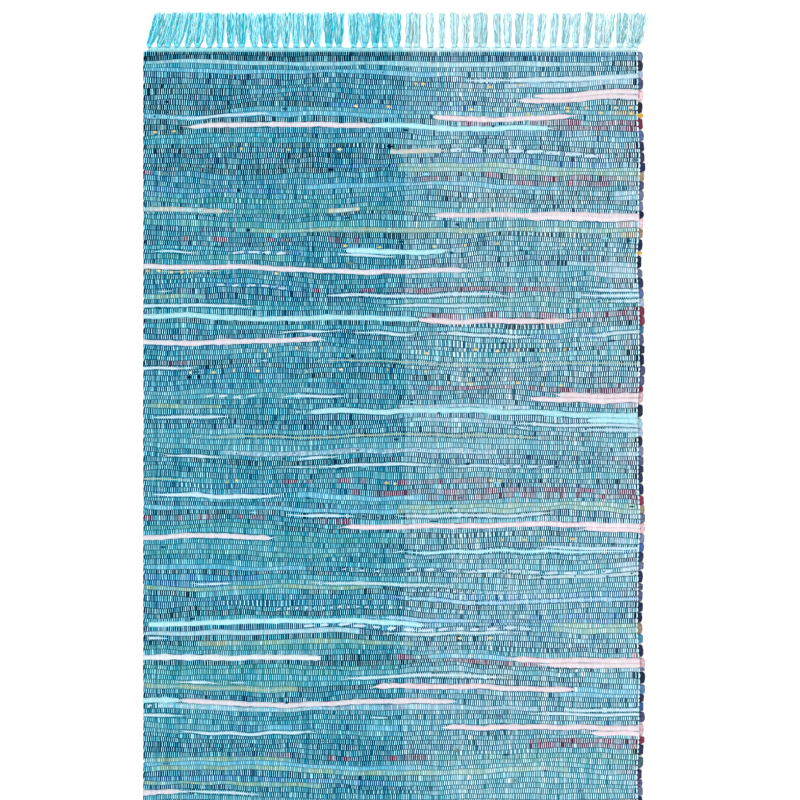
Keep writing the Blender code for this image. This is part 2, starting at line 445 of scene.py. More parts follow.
# soft-spun cotton, 2-ply: the fibres run along Y and mottle the dye in short dashes
cottonWarp = clothMaterial("softSpunCottonWarp", (900, 260, 900), (0.84, 1.12), 0.0002, 0.92, 0.06, 0.20)
# torn cotton rags, crumpled lengthwise when they are beaten in, so folds run along X, their shade painted
# into the dye as streaks
tornRag = clothMaterial("tornCottonRag", (45, 900, 900), (0.72, 1.16), 0.0005, 0.95, 0.0, 0.06)
# rags that lie over the warp, which presses its ends through them a float's width apart
pressedRag = clothMaterial("pressedCottonRag", (320, 75, 75), (0.90, 1.05), 0.0003, 0.95, 0.0, 0.06)
# rags gathered in a turn at the selvedge: folds in every direction, with painted fold light and shade
foldedRag = clothMaterial("foldedCottonRag", (300, 300, 300), (0.66, 1.28), 0.0009, 0.95, 0.0, 0.06)


def fit(piece, material):  # dress a piece and let it ride with the rug
    piece.data.materials.append(material)
    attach(piece, "root")
    return piece


# Headings and fringe: sizes and colours

fringe = {
    "tassels": 46,
    "inner": 0.5850,  # the heading's band starts under the first rag
    "edge": 0.5948,  # and ends where the knots sit
    "half": 0.3665,
    "thick": 0.0032,
    "knotHigh": 0.0033,  # half the height and width of a knot
    "knotWide": 0.0040,
    "tip": 0.6490,  # the longest yarns end here
    "shortest": 0.92,
    "yarns": 13,
    "fluffy": 1.9,  # every third yarn lies lowest, paler and untwisted to this many widths
    "yarnRadius": 0.00080,
    "rootHalf": 0.0028,
    "tips": (0.0079, 0.0060),  # half the width of a tassel at its tip, turquoise and pale
    "crowded": 42,  # the tassels from this one on run into each other, wider by this factor
    "crowding": 1.4,
    "fanPower": 0.30,  # a tassel widens soon after its knot
    "crimp": 0.0010,  # the yarns keep the waves that the twist gave them
    "deep": ("#36b4c4", "#aedfe7"),
    "pale": ("#93c1c7", "#cfe2e5"),
    "head": ("#92c4cb", "#b8d0d4"),
    "headUneven": 0.07,
    "foot": ("#1797a8", "#5fa3ac"),  # painted shadow at the foot of a knot, where it is drawn tight against the heading
    "knotShadowFrom": 2.4,  # where the painted shadow starts, as an angle down the knot
    "ridges": 0.14,
    "knotBack": 0.0003,  # a knot is pressed into the heading by this much
    "knotZ": 0.0027,
    "knotThick": 0.0020,
    "knotSizes": (0.85, 1.15),
    "rankUneven": 0.12,  # a tassel's yarns lie a little out of even order
    "liftAtKnot": 0.0014,  # and on top of each other, most of all near the knot
    "liftAtTip": 0.0007,
    "tipSizes": (0.85, 1.1),
    "crimps": (0.3, 1.1),  # least and most crimped yarn
    "crimpWaves": (9, 19),  # radians from knot to tip
    "leanPower": 0.8,
    "tones": (0.0, 0.3, 0.9),  # shades of the yarns that aren't fluffy
    "toneUneven": 0.1,
    "taper": 0.12,  # a yarn grows thinner by this share, and ends in a point of endShare
    "endShare": 0.25,
    "offFloor": 0.0001,  # a yarn lies this far over the floor, and a knot or heading twice as far
    "bottomUneven": 0.0012,  # at the bottom end the knots lie this far from even places
    "bottomLean": (0.001, 0.0022),  # and lean by this in the mean, with this spread
    "leanUneven": 0.0008,
    "innerWaves": ((0.0007, 31, 1.2), (0.0004, 83, 0)),  # of a heading's edge at the rags, as height,
    "outerWaves": ((0.0006, 55, 1.0), (0.0003, 210, 0)),  # radians a metre and phase, of its other edge
    "topWaves": ((0.0001, 140, 0),),  # and of its height
    "square": 0.5,  # a heading's section is this near to a square: 0 is a square and 1 is round
}

# Warp floats

floats = {
    "deep": ("#66c5d8", "#bde4ec"),  # darker and lighter dye of the turquoise warp on the left
    "pale": ("#a9d8e3", "#e2edf0"),  # and of the aqua warp on the right
    "tone": (0.75, 0.60),  # turquoise and pale: mean shade, from 0, the darker dye, to 1, the lighter
    "uneven": (0.26, 0.15),  # spread of the floats' shades
    "endTone": 0.20,  # and of the warp ends' own
    "cloud": 0.14,  # slow patches are lighter and darker by this much
    "flank": (0.85, 1.45),  # between two floats the light bounces to and fro, which deepens their colour
    "fullness": (0.48, 0.60),  # width of a float as a share of the pitch
    "widths": (0.84, 1.14),  # narrowest and widest float, as a factor of that
    "thickness": 0.0007,  # a float stands this far out of the rags
    "arch": 0.8,  # its edges stand lower by this share
    "standSoon": 1.5,  # it reaches its full stand soon after it has come out
    "pinch": 0.72,  # it is narrower at its ends
    "underStand": 0.0005,  # its stand on the underside
    "sunkChance": 0.015,  # some floats have sunk in among the rags and leave a dark slot
    "sunk": 0.35,
    "thinChance": 0.10,  # some are squeezed thin and show the rag beside them
    "thin": 0.55,
    "fatChance": 0.06,  # and some are spread wide
    "fat": 1.5,
    "darkBelow": 0.3,  # over rags darker than this the floats are uneven
    "bunching": 0.0005,  # floats stray to and from their neighbours by this much
    "bunchLeast": 0.4,  # over a light rag by this share of it
    "endStray": 0.00016,  # warp ends lie beside their even place by this much
    "splitStray": 0.0012,  # and change from deep to pale this far from the split
    "lean": 0.0006,  # in patches the floats all lean one way, up to this much
    "leanUneven": 0.00022,
    "leanTurns": 2.2,  # these patches are smaller than those of light and dark
    "endDark": 0.50,  # painted shade: a float darkens where it dives under the next rag
    "fadeSoon": 1.4,
    "endDepth": 0.9,  # and its colour deepens, also as painted shade
    "tintBase": 0.45,  # the warp over a rag is tinted with a pale shade of it
    "openWide": 1.55,  # where the warp lies open, every other float is wide and the next one thin
    "openThin": 0.40,
    "lightTo": -0.25,  # the warp to the left of here is lighter by leftLight
    "leftLight": 0.08,
    "darkTo": 0.12,  # and between the split and here it is darker by splitDark
    "splitDark": 0.15,
    "shadeOver": 0.06,  # both fade out over this width
    "tightRows": 2,  # in the first rows the floats are narrow and dark
    "tightShare": 0.84,
    "tightTone": 0.18,
    "overHeading": 0.35,  # the outermost floats run on over the heading by this share of a row
    "headingRise": 0.30,
    "cordX": 0.3650,  # the outermost warp end on the right shows over every row, bowed outwards
    "cordHalf": 0.0012,
    "cordBow": 0.0008,
    "cordWidths": (0.8, 1.2),
    "cordTones": (0.5, 1.0),
    "toneLimits": (-0.2, 1.2),
    "topSteps": (0.0, 0.15, 0.85, 1.0),  # places along a float where it has points, on top,
    "underSteps": (0.04, 0.5, 0.96),  # below
    "cordSteps": (-0.02, 0.22, 0.5, 0.78, 1.02),  # and where the outermost warp end has them
}
clouds = ((61, 17, 1.0), (-23, 43, 2.6), (37, -71, 0))  # radians a metre across and along, and phase
openRuns = (  # row, from and to in centimetres where the warp lies open
    (1, 57.5, 62), (55, 45, 62.4), (56, 52, 60), (59, 44, 58), (60, 48, 66), (61, 40, 50), (19, 30, 38),
    (30, 8, 18), (37, 55, 66), (47, 2, 10), (80, 20, 30), (88, 4, 14), (98, 44, 56), (112, 12, 24),
    (121, 50, 62), (132, 24, 34), (142, 46, 58), (150, 30, 42),
)

# Weft body

bodySurface = {
    "steps": (0.0, 0.28, 0.72),  # places across a row where the surface has points
    "columns": 64,
    "leftEdge": -0.3736,
    "rightEdge": 0.3648,
    "paleGlow": 0.015,  # light that the pale warp throws into its gaps lifts their colour so much
}


def rowDome(part):  # 0 where two rows meet, 1 on the middle of the rag, round between
    return np.sqrt(np.clip(1 - (2 * part - 1) ** 2, 0, 1))


def topHigh(row, dome):
    return weave["valley"] + (weave["crest"] - weave["valley"] + rowSwell[row]) * dome


def underHigh(dome):
    return weave["underValley"] - (weave["underValley"] - weave["underCrest"]) * dome


def buildWeftBody():
    # cross-sections along the rug: top from left to right, then the underside back again; a section's
    # height follows the round back of each rag
    steps = np.array(bodySurface["steps"])
    place = (np.arange(weave["rows"])[:, None] + steps).ravel()
    place = np.append(place, weave["rows"])
    row = np.clip(np.floor(place), 0, weave["rows"] - 1).astype(int)
    dome = rowDome(place - np.floor(place))
    x = np.linspace(bodySurface["leftEdge"], bodySurface["rightEdge"], bodySurface["columns"] + 1)
    y = rowLine(place[:, None], x)
    upper = spots(x, y, topHigh(row, dome)[:, None])
    lower = spots(x, y, underHigh(dome)[:, None])[:, ::-1]
    points = np.concatenate([upper, lower], 1)[None]
    middle = (points[0, :-1, :, 0] + np.roll(points[0, :-1, :, 0], -1, 1)) / 2
    rag = ragAt(row[:-1, None], middle)
    glow = np.where(middle > weave["splitX"], bodySurface["paleGlow"], 0)
    # painted shade: each rag's colour is darkened where it lies deep between the warp ends, and the pale
    # warp's glow is painted light
    dye = mixed(ragColours[rag] * ragGapShades[rag][..., None], fromHex(floats["pale"][0]), glow)
    return surfacePiece("weft_rags", points, dye, faceDye=True)


weftBody = fit(buildWeftBody(), tornRag)
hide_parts("woven_field")
print("weft body woven")

warpCount = int((weave["warpRight"] - weave["warpLeft"]) / weave["warpPitch"])
endTone = dice.normal(0, floats["endTone"], (warpCount, 2))
endShift = dice.normal(0, floats["endStray"], (warpCount, 2))


def cloudy(x, y):  # slow patches of lighter and darker cloth, from three crossing waves
    return sum(np.sin(across * x + along * y + phase) for across, along, phase in clouds) / len(clouds)


def shading(x):  # the warp is lighter near the left selvedge and darker just right of the split
    left = np.clip((floats["lightTo"] - x) / floats["shadeOver"], 0, 1)
    split = np.clip((floats["darkTo"] - x) / floats["shadeOver"], 0, 1) * (x > weave["splitX"])
    return floats["leftLight"] * left - floats["splitDark"] * split


def floatArrays():
    # row, middle x, half width, lean and colour of every float on one face. Two neighbouring warp ends show
    # over every other row each, a quarter of the pitch to the left and to the right of its middle
    row, column = np.meshgrid(np.arange(weave["rows"]), np.arange(warpCount), indexing="ij")
    turn = row % 2
    x = weave["warpLeft"] + (column + 0.25 + 0.5 * turn) * weave["warpPitch"]
    stray = dice.normal(0, 1, (weave["rows"], warpCount + 2))
    bunch = floats["bunching"] * (0.25 * stray[:, :-2] + 0.5 * stray[:, 1:-1] + 0.25 * stray[:, 2:])
    rag = ragAt(row, x)
    dark = np.clip(1 - ragColours[rag].mean(-1) / floats["darkBelow"], 0, 1)
    x = x + endShift[column, turn] + bunch * (floats["bunchLeast"] + (1 - floats["bunchLeast"]) * dark)
    full = bySide(x, *floats["fullness"])
    full = full * dice.uniform(*floats["widths"], x.shape)
    chance = dice.random(x.shape)
    full = np.where(chance < floats["thinChance"] * dark, full * floats["thin"], full)
    full = np.where(chance < floats["sunkChance"] * dark, full * floats["sunk"], full)
    full = np.where(chance > 1 - floats["fatChance"], full * floats["fat"], full)
    openWidth = np.where(column % 2 == 0, floats["openWide"], floats["openThin"])
    for openRow, start, stop in openRuns:
        isOpen = (row == openRow) & (x > fromLeft(start)) & (x < fromLeft(stop))
        full = np.where(isOpen, full * openWidth, full)
    isTight = row < floats["tightRows"]
    full = full * np.where(isTight, floats["tightShare"], 1)
    uneven = bySide(x, *floats["uneven"])
    tone = bySide(x, *floats["tone"]) + endTone[column, turn]
    tone = tone + dice.normal(0, 1, x.shape) * uneven + floats["cloud"] * cloudy(x, row * rowPitch)
    tone = np.clip(tone + shading(x) - floats["tightTone"] * isTight, *floats["toneLimits"])
    isDeep = x < weave["splitX"] + dice.normal(0, floats["splitStray"], x.shape)
    dye = np.where(isDeep[..., None], between(floats["deep"], tone), between(floats["pale"], tone))
    dye = mixed(dye, floats["tintBase"] + (1 - floats["tintBase"]) * ragColours[rag], ragTints[rag])
    turns = floats["leanTurns"]
    lean = dice.normal(0, floats["leanUneven"], x.shape)
    lean = lean + floats["lean"] * cloudy(turns * x + 5, turns * row * rowPitch)
    return row, x, full * weave["warpPitch"] / 2, lean, dye


def floatStrips(row, x, half, lean, dye, alongs, acrosses, under, bow=0):
    # each float arches over one rag: its line follows the row, its height the rag's round back, and its own
    # section is a low arch. along runs over the row, across from edge to edge
    along = np.array(alongs)[:, None] + np.zeros((x.size, 1, 1))
    across = np.array(acrosses)
    number = each(row.ravel())
    isFirst = (number == 0) & (along < 0.1)
    isLast = (number == weave["rows"] - 1) & (along > 0.9)
    along = np.where(isFirst, -floats["overHeading"], np.where(isLast, 1 + floats["overHeading"], along))
    pinch = np.where((along > 0) & (along < 1), 1.0, floats["pinch"])
    px = (each(x.ravel()) + each(lean.ravel()) * (along - 0.5)
          + each(half.ravel()) * across * pinch + bow * (1 - (2 * along - 1) ** 2))
    py = (1 - along) * rowEdge(number, px) + along * rowEdge(number + 1, px)
    dome = np.where(isFirst | isLast, floats["headingRise"], rowDome(np.clip(along, 0, 1)))
    arch = 1 - floats["arch"] * across ** 2
    pz = topHigh(number, dome) + floats["thickness"] * arch * np.minimum(floats["standSoon"] * dome, 1)
    if under:
        pz = underHigh(dome) - floats["underStand"] * dome
    points = spots(px, py, pz)
    # painted shade: each float darkens and deepens in colour towards its ends, where it dives between the
    # rags, and deepens on its flanks, where light bounces between floats
    endShade = 1 - floats["endDark"] * (1 - np.minimum(floats["fadeSoon"] * dome, 1))
    flank = bySide(px, *floats["flank"]) * (not under)
    shadeDepth = 1 + (flank * np.abs(across) + floats["endDepth"] * (1 - dome))[..., None]
    tones = dye.reshape(-1, 1, 1, 3) ** shadeDepth * np.broadcast_to(endShade, px.shape)[..., None]
    heading = sideDye(x.ravel(), *fringe["head"])[:, None, None]
    return points, np.where((isFirst | isLast)[..., None], heading, tones)


def floatPiece(name, laid, steps, acrosses, under=False, bow=0):
    points, tones = floatStrips(*laid, floats[steps], acrosses, under, bow)
    piece = surfacePiece(name, points, tones, facing=-1 if under else 1, plan=planBox(points))
    return fit(piece, cottonWarp)


def buildFloats():
    pieces = []
    laid = floatArrays()
    row, x = laid[:2]
    for side, isLeft in (("deep", True), ("pale", False)):
        for end, rowsHere in (("top", row < weave["rows"] // 2), ("bottom", row >= weave["rows"] // 2)):
            pick = rowsHere & ((x < weave["splitX"]) == isLeft)
            chosen = [values[pick] for values in laid]
            pieces.append(floatPiece(f"warp_{side}_{end}", chosen, "topSteps", (-1, 0, 1)))
    row = np.arange(weave["rows"])
    x = np.full(len(row), floats["cordX"])
    half = floats["cordHalf"] * dice.uniform(*floats["cordWidths"], len(row))
    dye = between(floats["pale"], dice.uniform(*floats["cordTones"], len(row)))
    cord = (row, x, half, 0 * x, dye)
    pieces.append(floatPiece("warp_edge_cord", cord, "cordSteps", (-1, 0, 1), bow=floats["cordBow"]))
    pieces.append(floatPiece("warp_underside", floatArrays(), "underSteps", (-1, 1), under=True))
    return pieces


warpPieces = buildFloats()
print("warp floats laid:", warpCount * weave["rows"], "a side")

# Where the rags turn back at the selvedges
loopShape = {
    "rootX": 0.3640,  # the rag comes out from under the last warp end here
    "leftRootX": 0.3700,  # on the left the loops are drawn in tight
    "reach": 0.3752,
    "slack": 0.0022,  # the tightest loop stops this far short
    "unevenEnd": 0.28,  # loops meet this far from the even row line, in rows
    "across": 0.0037,  # half the rag's width at the turn
    "overlap": 1.10,  # neighbouring loops press into each other
    "high": 0.0026,
    "middleZ": 0.0031,
    "squareness": 0.35,  # the turn is nearer to a rounded square than to a circle
    "corner": 0.6,
    "smallBy": 0.45,  # rows that a small loop gives up on each side
    "shortest": 0.0008,
    "turn": 118,  # a loop reaches this many degrees round, to both sides
    "tiltBy": 75,  # and its tube has turned sideways by here
    "crumple": 0.09,
    "dip": 0.0012,  # its limbs sink under the warp
    "dipFrom": 0.4,  # from here inwards, as a share of its reach
    "lowest": 0.0002,
    "shade": 0.85,
    "shades": (0.8, 1.15),
    "dust": "#8a90b0",  # lint and wear grey the rags by this colour and share
    "dustShare": 0.12,
    "plain": ("teal", "denim", "lake", "slate"),  # rags of the left selvedge
    "small": ("amber",),  # a thin rag turns in a small loop, and its neighbours' rows close in on it
    "tones": {  # gathered in a turn, a rag shows its own colour without the warp's light
        "crimson": "#8a3850", "moss": "#5a7478", "khaki": "#a6967a", "denim": "#66789f",
        "lavender": "#8088a0", "mauve": "#5c5c7a", "plum": "#3c3c5a", "charcoal": "#343444",
        "navy": "#2c3354", "blush": "#e6c4ca", "white": "#a8b6c8", "ink": "#263048", "cobalt": "#466896",
        "sky": "#6f9cc0", "amber": "#e6b84a", "ice": "#a8c8d0",
    },
}

# Rag strips that lie over the warp

# colour in the middle and at the edges, where it is partly painted shade, height in rows, stand over the
# warp, length and width of the tapered ends
overColumns = ("colour", "edge", "full", "stand", "taper", "tip")
overRags = {name: dict(zip(overColumns, values)) for name, *values in (
    ("pink", "#cac4c9", "#cba9b5", 1.10, 0.0011, 0.010, 0.15),
    ("cream", "#c4c4cb", "#c8b6be", 1.06, 0.0011, 0.010, 0.15),
    ("chalk", "#c4cacf", "#aec0c8", 1.14, 0.0011, 0.004, 0.75),
    ("ice", "#a9cbd1", "#7fc6d3", 1.10, 0.0010, 0.008, 0.65),
    ("white", "#b6cad2", "#7fa8cc", 0.66, 0.0009, 0.020, 0.12),
    ("fleece", "#b6cad2", "#8fb4cc", 1.05, 0.0011, 0.035, 0.12),
    ("dash", "#b8c9d2", "#86a4c6", 0.80, 0.0010, 0.003, 0.45),
    ("thread", "#9fb2a6", "#a89f84", 0.36, 0.0003, 0.030, 0.30),
    ("haze", "#b0c2c8", "#9cbcc8", 0.72, -0.0002, 0.020, 0.30),
    ("mist", "#92b3cd", "#84abc8", 0.78, -0.0003, 0.030, 0.20),
    ("sleet", "#a9cbd1", "#7fc6d3", 0.70, 0.0008, 0.060, 0.30),
    ("sand", "#b4b4b0", "#b09a90", 1.06, -0.0004, 0.004, 0.40),
)}
overStrips = {  # row, then from and to in centimetres from the left selvedge
    "cream": ((15, 6.6, 35), (44, 0, 48.6), (59, 0, 27), (99, 0, 19.5), (132, 5.6, 47), (151, 0, 6)),
    "pink": (
        (8, 58.5, 75), (8.85, 56.3, 75), (13, 43.5, 64.2), (33, 43.4, 75), (33.85, 57.5, 75),
        (54, 41.1, 64.2), (69, 62, 75), (69.95, 57.8, 75), (96, 29.9, 75), (96.95, 66, 75),
        (123, 55.2, 75), (123.9, 60, 75), (129, 34.7, 64.7), (137, 44.7, 75), (138.1, 67, 75),
    ),
    "ice": (
        (15, 34, 60.8), (40, 30.5, 45.2), (54, 0, 41.1), (73, 25.2, 75), (74, 66.6, 75), (116, 0.9, 42),
        (132, 0, 5.5),
    ),
    "sleet": ((101, 38.4, 73),),
    "chalk": ((123, 0, 26.6),),
    "fleece": ((5, 54, 75), (90, 1.4, 20.6), (128, 5.9, 10.5)),
    "white": (
        (5, 48, 55), (51, 36, 52), (13, 4.8, 19), (41, 1.6, 7.4), (41, 29.2, 37.7), (49, 27.5, 53.4),
        (49, 2.1, 4.7), (48, 66.3, 75), (49, 66.3, 75), (50, 70, 75), (52, 0, 15.9), (57, 21.6, 29),
        (57, 32.7, 40.7), (57, 44.9, 58.4), (57, 66, 75), (64, 0, 6.9), (63, 17.3, 19), (70, 21.3, 30.8),
        (74, 1.4, 12.8), (75, 56.3, 75), (76, 55.2, 57.8), (76, 66, 75), (82, 4.1, 12.3), (82, 22.8, 29),
        (84, 21.3, 25.2), (84, 27, 43.7), (84, 46.5, 54.9), (94, 38.4, 60.8), (94, 21.8, 30.8),
        (94, 15.8, 17.3), (100.4, 60, 75), (108, 8.6, 13.5), (119, 0.9, 3.9), (128, 12.9, 15.5),
        (133, 63, 75), (134, 58.5, 75), (135, 0, 5.9), (135, 34, 36.8), (138, 6.6, 25), (151, 6, 17.6),
    ),
    "haze": ((127, 30.9, 53.9), (108, 25.8, 45.3), (117.9, 37, 56), (105, 48, 56), (106, 58.5, 75)),
    "mist": ((111, 38.4, 75), (115, 34.5, 51.5)),
    "sand": ((32, 0, 12.5), (20, 36.9, 45)),
    "thread": ((63, 26, 75), (78, 8.1, 62), (87, 0, 8.4), (44.9, 1.5, 11), (129, 3, 22), (36, 22, 50)),
}
whiteDashes = (  # row, from, to, length of a dash and of a gap in centimetres, height of a dash in rows
    (20, 46, 70.2, 2.3, 0.55, 0.85), (41, 13.4, 24.3, 1.6, 0.6, 0.6), (48, 10.7, 24.3, 1.4, 0.9, 0.5),
    (70, 9.2, 18.8, 1.3, 0.8, 0.6), (84, 53, 62.3, 1.7, 0.6, 0.65), (105, 39, 53.3, 1.6, 1.4, 0.6),
    (105, 29.4, 38.4, 0.9, 1.5, 0.5), (105, 54.6, 75, 1.9, 0.9, 0.7), (108.2, 38.4, 49, 0.5, 0.6, 0.4),
    (109.1, 40.4, 58.7, 0.5, 0.5, 0.45), (109.7, 44, 60, 0.4, 0.9, 0.4),
    (113, 20.1, 48.9, 0.5, 0.8, 0.66), (117, 24, 60.9, 1.7, 0.8, 0.72), (80.8, 12, 26, 0.5, 0.4, 0.4),
    (81.2, 17, 53, 0.6, 0.5, 0.45), (133, 0.5, 29, 0.7, 0.9, 0.5),
)


dashes = {  # the white dashes of a row differ between these limits
    "late": (0, 0.4),  # start, as a share of a gap
    "long": (0.8, 1.15),
    "aside": (-0.12, 0.12),  # in rows
    "high": (0.8, 1.1),
}
stripShape = {
    "step": 0.0045,  # from point to point along a strip
    "fewest": 6,
    "past": 0.003,  # a strip runs on under the loops by this much
    "whole": 0.01,  # one that starts this near to the left selvedge has no tapered start
    "tapers": (0.7, 2.0),  # shortest and longest tapered end, as a factor
    "taperPower": 0.7,
    "nubEvery": 0.06,  # one nub for each such length
    "nubLong": 0.005,
    "nubs": (-0.15, 0.30),
    "waver": 0.05,  # the width wavers by this share
    "torn": 0.07,  # and its edges are torn by this share
    "slants": (0.05, 0.30),  # a dash lies aslant by so many rows
    "foot": 0.0012,  # a strip's edges lie this far below the crests of the rags
    "lowEnd": 0.4,  # and its ends stand by this share of its height
    "shades": (0.95, 1.04),
    "edgeShare": 0.8,  # its edges take on the edge colour, partly painted shade, by up to this share
    "wispFrom": 0.03,  # strips longer than this have one to four wisps
    "wispClear": 0.02,  # but none at the selvedges
    "wispLong": (0.008, 0.022),
    "wispBack": 0.006,  # a wisp starts this far back in its strip
    "wispDrift": 0.5,  # and wanders off by up to so many rows
    "wispHalf": 0.12,  # half its width in rows, most at its root
    "wispHigh": 0.0013,
    "wispSink": 0.4,  # its tip lies lower by this share
    "wispFoot": 0.0004,  # and its edges lie lower by this much
}


def stripList():  # kind, row, from and to in metres along X and height in rows of every strip and dash
    found = [(name, row, start, stop, overRags[name]["full"])
             for name, places in overStrips.items() for row, start, stop in places]
    for row, start, stop, dash, gap, high in whiteDashes:
        for number in range(int((stop - start) / (dash + gap))):
            begin = start + number * (dash + gap) + dice.uniform(*dashes["late"]) * gap
            end = begin + dash * dice.uniform(*dashes["long"])
            place = row + dice.uniform(*dashes["aside"])
            found.append(("dash", place, begin, end, high * dice.uniform(*dashes["high"])))
    return [(name, row, fromLeft(start), fromLeft(stop), high) for name, row, start, stop, high in found]


def buildStrips():
    # a flattened rag: a low arch across, tapered to both ends, with uneven width and a few nubs along its
    # length and deeper colour at its edges, partly painted shade; from some of its ends thin wisps stray on
    made = []
    for name, row, start, stop, full in stripList():
        kind = overRags[name]
        stop = min(stop, loopShape["rootX"] + stripShape["past"])
        long = stop - start
        steps = max(stripShape["fewest"], math.ceil(long / stripShape["step"]))
        u = np.linspace(0, 1, steps + 1)[:, None]
        v = np.array((-1, -0.7, 0, 0.7, 1))
        x = start + long * u
        startTaper, stopTaper = kind["taper"] * dice.uniform(*stripShape["tapers"], 2)
        fromStart = np.where(start < fieldLow[0] + stripShape["whole"], 1, u * long / startTaper)
        fromStop = np.where(stop > loopShape["rootX"], 1, (1 - u) * long / stopTaper)
        taper = np.clip(np.minimum(fromStart, fromStop), 0, 1) ** stripShape["taperPower"]
        nubs = sum(dice.uniform(*stripShape["nubs"])
                   * np.exp(-((x - dice.uniform(start, stop)) / stripShape["nubLong"]) ** 2)
                   for nub in range(round(long / stripShape["nubEvery"])))
        waver = stripShape["waver"]
        wobble = 1 + waver * np.sin(150 * x + row) + waver * np.sin(330 * x + 2.0 * row) + nubs
        torn = 1 + dice.normal(0, stripShape["torn"], (steps + 1, len(v)))
        half = full / 2 * wobble * torn * (kind["tip"] + (1 - kind["tip"]) * taper)
        slant = dice.uniform(*stripShape["slants"]) * (0.5 - u) if name == "dash" else 0
        y = rowLine(row + 0.5 + slant, x) - half * v * rowPitch
        high = kind["stand"] * wobble + floats["thickness"] + stripShape["foot"]
        high = high * (stripShape["lowEnd"] + (1 - stripShape["lowEnd"]) * taper)
        z = weave["crest"] + high * (1 - np.abs(v) ** 3) - stripShape["foot"]
        tone = fromHex(kind["colour"]) * dice.uniform(*stripShape["shades"])
        # the darker, deeper edges are partly the rag's own colour and partly painted shade where it curves
        # down
        edgeShare = v ** 2 * dice.uniform(0, stripShape["edgeShare"], x.shape)
        made.append((spots(x, y, z)[None], mixed(tone, fromHex(kind["edge"]), edgeShare)[None]))
        for wisp in range(dice.integers(1, 5) if long > stripShape["wispFrom"] else 0):
            isStart = dice.random() < 0.5
            root = start if isStart else stop
            if abs(root) < weave["warpRight"] - stripShape["wispClear"]:
                made.append((buildWisp(row, root, -1 if isStart else 1)[None], tone))
    return made


def buildWisp(row, root, way):  # a frayed thread: a narrow flat ribbon that wanders off from a strip's end
    u = np.linspace(0, 1, 5)[:, None]
    v = np.array((-1, 0, 1))
    long = dice.uniform(*stripShape["wispLong"])
    drift = dice.uniform(-stripShape["wispDrift"], stripShape["wispDrift"])
    x = root + way * (long * u - stripShape["wispBack"])
    y = rowLine(row + 0.5 + drift * u ** 1.5 + stripShape["wispHalf"] * (1.1 - u) * v, x)
    z = weave["crest"] + stripShape["wispHigh"] * (1 - stripShape["wispSink"] * u)
    return spots(x, y, z - stripShape["wispFoot"] * np.abs(v))


def joinPieces(name, parts, facing):  # patches of unlike sizes, made one by one and joined as one mesh
    made = [surfacePiece(f"{name}_{number}", points, dye, facing=facing, plan=(fieldLow[:2], fieldHigh[:2]))
            for number, (points, dye) in enumerate(parts)]
    chosen = {"active_object": made[0], "selected_editable_objects": made, "selected_objects": made}
    with bpy.context.temp_override(**chosen):
        bpy.ops.object.join()
    made[0].name = name
    made[0].data.name = name
    return made[0]


overPiece = fit(joinPieces("over_rags", buildStrips(), 1), pressedRag)
print("loose rags laid over the warp")

# Scraps: ends and knots of rags that peep out between two warp ends

scraps = {
    "furthest": 73.2,  # centimetres from the left selvedge, so that none lies on a loop
    "astray": 0.3,  # they lie this far from even places, in centimetres
    "inRow": (0.3, 0.7),  # highest and lowest place in a row
    "lumps": 0.22,
    "stretch": (0.5, 1.5),
    "cut": 0.15,  # angle that a cushion lacks at both ends
    "middleZ": 0.0006,  # over the crests of the rags
    "high": 0.0011,
    "specks": {"colours": ("#ccc8ae", "#c2bb94", "#c8c3a6"), "long": 0.0025, "wide": 0.0021},
    "blues": {"colours": ("#2f6f9f", "#3f80a8", "#1c4f7a"), "long": 0.0017, "wide": 0.0012},
    "knots": {"colours": ("#04304a",), "long": 0.0032, "wide": 0.0026},
    "tufts": {
        "colours": ("#6c8298", "#4d7c94", "#8fc4d0", "#14506a", "#6f8f88", "#1c5f76"), "count": 120,
        "rows": (2, 158), "reach": 0.36, "long": (0.0016, 0.0048), "wide": (0.0010, 0.0021),
    },
}
speckRuns = (  # row, from and to in centimetres, how many yellow specks
    (16, 2.5, 4.2, 2), (20, 14.8, 29.6, 3), (11, 32, 36.8, 2), (6, 40.4, 42, 2), (6, 51.9, 56, 2),
    (11, 49, 74, 8), (12, 58, 74, 4), (39, 30.8, 35.6, 2), (39, 43.2, 53.1, 3), (39, 62.7, 67, 2),
    (61, 18.5, 27.2, 3), (61, 34.7, 42.5, 2), (60, 49.8, 63, 5), (65, 7, 17.3, 4), (65, 24.5, 42.8, 4),
    (67, 45.6, 63, 6), (87, 12.9, 14.3, 2), (87, 36.5, 38, 2), (87, 52, 53.3, 2), (99, 50.3, 64, 5),
    (119, 48, 52, 2), (45, 0.9, 7.7, 5), (45, 20, 21, 1),
)
blueRuns = (  # the same for blue ones, which show between the white dashes
    (20, 47.5, 71, 8), (41, 14.5, 24, 4), (48, 12, 24, 4), (57, 45, 58, 3), (84, 54, 62, 4),
    (105, 40, 74, 8), (106, 60, 74, 4), (94, 33, 38, 3), (81, 14, 50, 5), (117, 28, 60, 6),
    (76, 56, 66, 3), (48, 66, 74, 3), (50, 64, 72, 3),
)
knotPlaces = (  # row and centimetres of the dark knots
    (62, 31.4), (66, 7.0), (66, 8.4), (10, 3.6), (28, 14.4), (36, 15.8), (19, 37), (24, 28.2),
)


